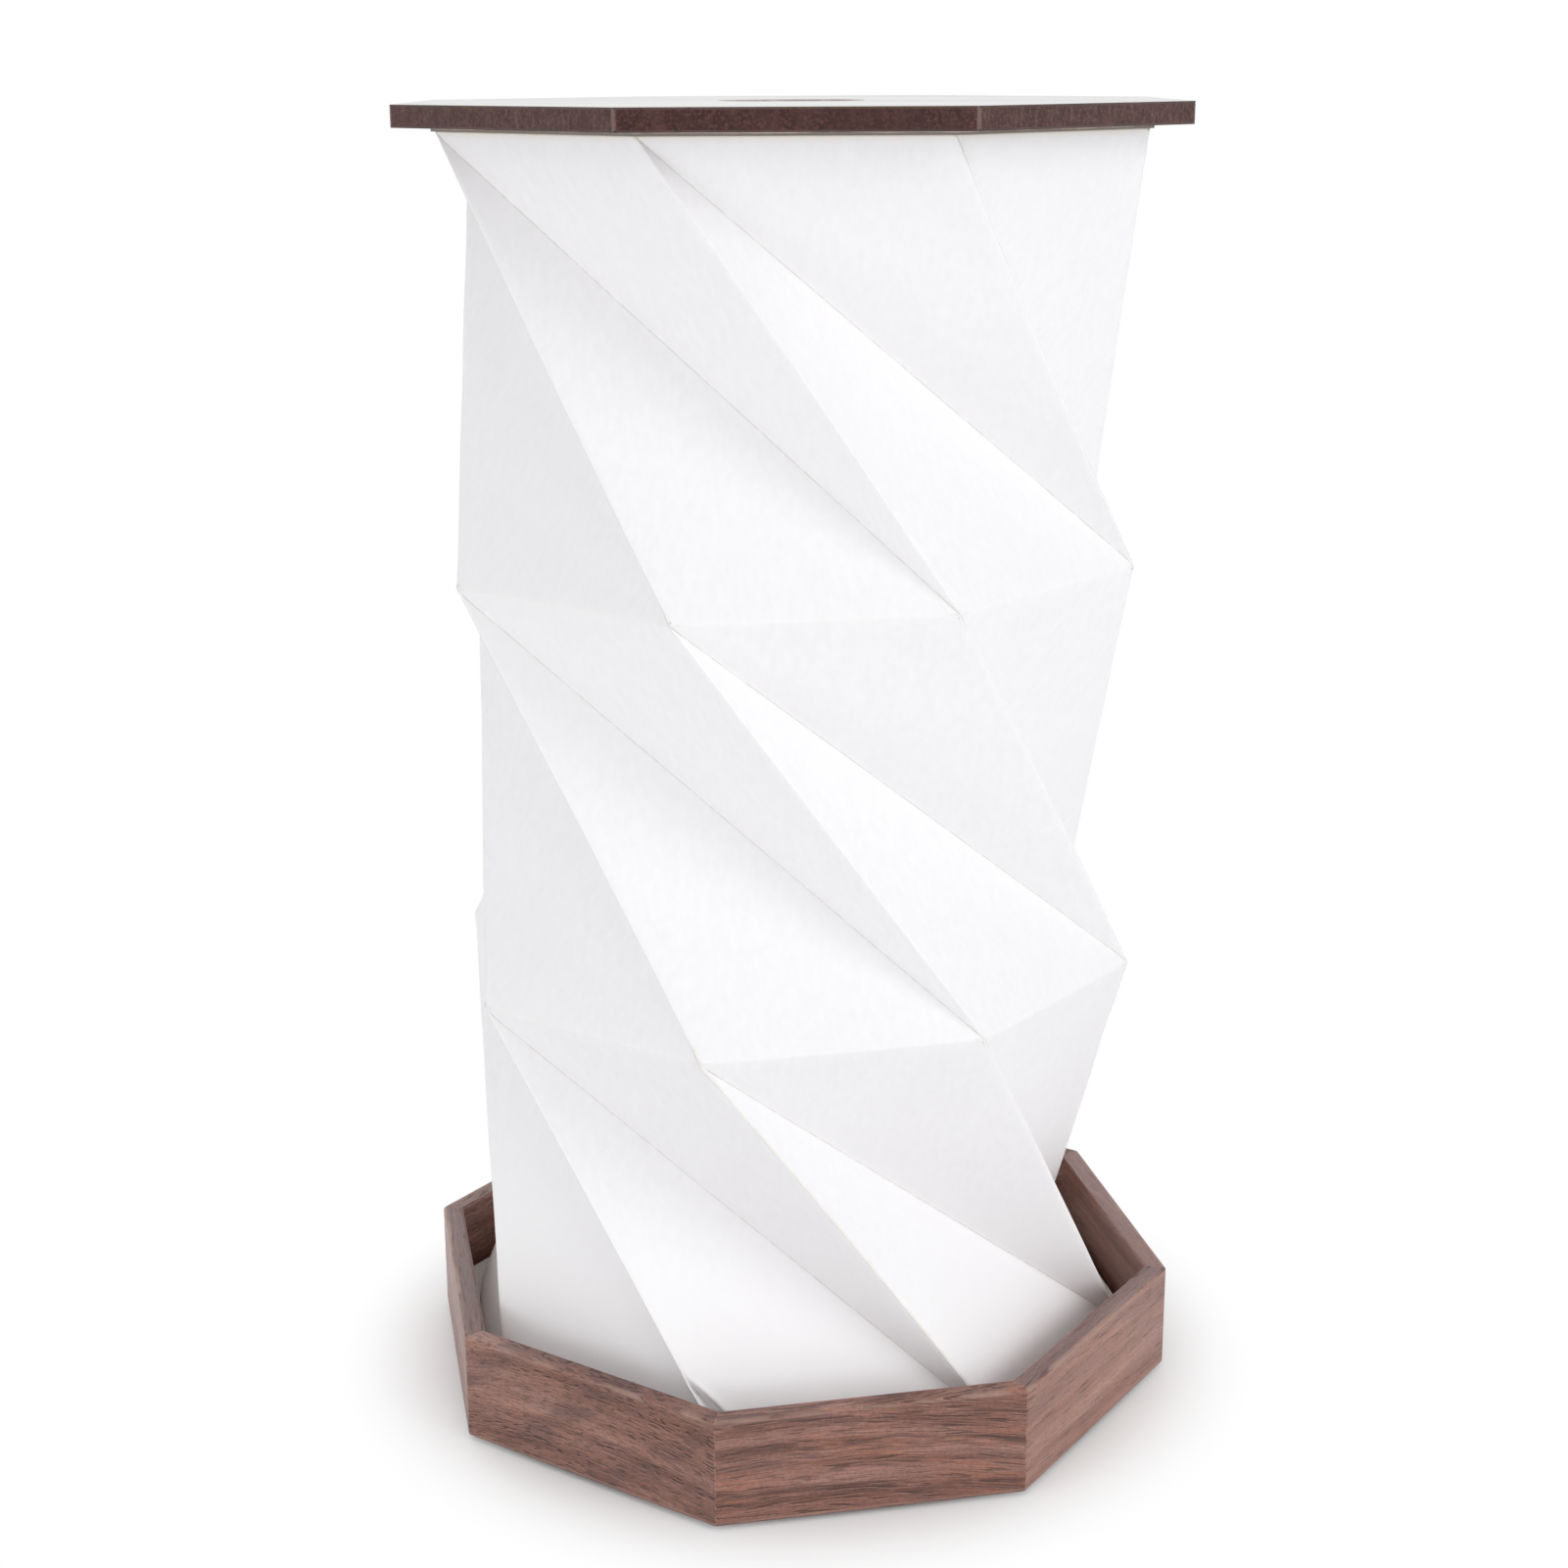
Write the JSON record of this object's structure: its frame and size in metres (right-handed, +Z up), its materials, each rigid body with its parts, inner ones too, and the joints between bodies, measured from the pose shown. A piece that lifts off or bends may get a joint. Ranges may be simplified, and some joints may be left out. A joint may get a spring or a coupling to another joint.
{
  "type": "folding bedside lamp",
  "caption": "Folding bedside lamp: octagonal walnut tray, twist-folded white paper shade and a wooden lid that lifts and turns as the shade opens.",
  "frame": {"origin": "on the table, under the middle of the lamp", "axes": "+Z up through the lid; the tray's flats face +X, -X, +Y and -Y; the charging socket faces +Y"},
  "size_m": [0.125, 0.125, 0.2125],
  "materials": {
    "walnut": "oiled walnut, satin",
    "plywood": "bare plywood",
    "foot_rubber": "matt soft rubber",
    "floor_grey": "satin moulded plastic",
    "screw_steel": "zinc plated",
    "circuit_board": "green solder mask",
    "led_board_white": "white solder mask on aluminium",
    "chip_black": "moulded epoxy",
    "led_white": "phosphor over a white body",
    "socket_steel": "drawn and plated",
    "battery_foil": "laminated foil pouch",
    "lead_red": "wire insulation",
    "lead_black": "wire insulation",
    "frosted_plastic": "frosted diffuser",
    "shade_paper": "matt fibrous sheet, creased",
    "card": "bare cream card",
    "lid_core_brown": "stained fibreboard edge",
    "lid_veneer": "satin lacquered walnut veneer",
    "lid_inlay_wood": "satin lacquered walnut disc",
    "magnet_nickel": "nickel plated"
  },
  "bodies": {
    "base": {"battery": "battery_foil", "battery_lead_black": "lead_black", "battery_lead_red": "lead_red", "board_screws": "screw_steel", "control_board": "circuit_board", "control_chip": "chip_black", "diffuser": "frosted_plastic", "floor_plate": "floor_grey", "floor_screws": "screw_steel", "foot_1": "foot_rubber", "foot_2": "foot_rubber", "foot_3": "foot_rubber", "foot_4": "foot_rubber", "led_board": "led_board_white", "led_chip_1": "led_white", "led_chip_2": "led_white", "led_chip_3": "led_white", "led_chip_4": "led_white", "led_chip_5": "led_white", "led_chip_6": "led_white", "led_chip_7": "led_white", "led_chip_8": "led_white", "lid_sensor": "chip_black", "light_lead_black": "lead_black", "light_lead_red": "lead_red", "shade_base_card": "card", "socket_shell": "socket_steel", "socket_tongue": "chip_black", "tray_bottom": "plywood", "tray_side_back": "walnut", "tray_side_back_left": "walnut", "tray_side_back_right": "walnut", "tray_side_front": "walnut", "tray_side_front_left": "walnut", "tray_side_front_right": "walnut", "tray_side_left": "walnut", "tray_side_right": "walnut"},
    "shade": {"shade": "shade_paper"},
    "lid": {"lid_core": "lid_core_brown", "lid_top_veneer": "lid_veneer", "lid_bottom_veneer": "lid_veneer", "lid_inlay": "lid_inlay_wood", "lid_magnet": "magnet_nickel", "lid_liner": "card"}
  },
  "joints": [
    {"name": "shade_twist", "type": "hinge", "parent": "base", "child": "shade", "pos_m": [0, 0, 0.0079], "axis": [0, 0, 1], "range_deg": [-124.2, 0]},
    {"name": "lid_lift", "type": "slide", "parent": "shade", "child": "lid", "axis": [0, 0, 1], "range_m": [-0.19, 0], "deforming": ["shade"]}
  ],
  "couplings": [
    {"joint": "shade_twist", "follows": "lid_lift", "rad_per_m": 11.409}
  ]
}
